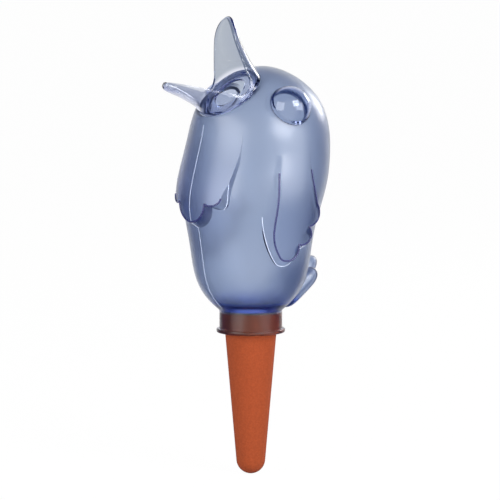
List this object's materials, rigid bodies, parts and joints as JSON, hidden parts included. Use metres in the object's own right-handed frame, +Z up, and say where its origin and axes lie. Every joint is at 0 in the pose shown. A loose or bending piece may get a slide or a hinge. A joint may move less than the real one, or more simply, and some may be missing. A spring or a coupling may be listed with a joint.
{
  "type": "watering globe",
  "caption": "Bird-shaped translucent water reservoir with an open beak for filling, on a hollow porous clay spike that lets water seep into a plant pot's soil.",
  "frame": {"origin": "on the spike's axis at the soil line, level with the underside of the neck's flange", "axes": "+Z up along the spike, -Y the way the bird faces, +X its left side"},
  "size_m": [0.0838, 0.1026, 0.2528],
  "materials": {
    "satin_plastic": "satin, translucent blue",
    "clear_plastic": "polished, clear with a blue tint",
    "seal_rubber": "matte",
    "fired_clay": "unglazed, porous"
  },
  "bodies": {
    "spike": {"clay_cone": "fired_clay"},
    "seal": {"cone_seal": "seal_rubber"},
    "reservoir": {"left_shell": "satin_plastic", "right_shell": "satin_plastic", "beak_funnel": "clear_plastic", "left_eye": "clear_plastic", "right_eye": "clear_plastic"}
  },
  "joints": [
    {"name": "bird_turn", "type": "hinge", "parent": "spike", "child": "seal", "pos_m": [0, 0, 0], "axis": [0, 0, 1], "continuous": true},
    {"name": "bird_lift", "type": "slide", "parent": "seal", "child": "reservoir", "axis": [0, 0, 1], "range_m": [0, 0.03]}
  ]
}
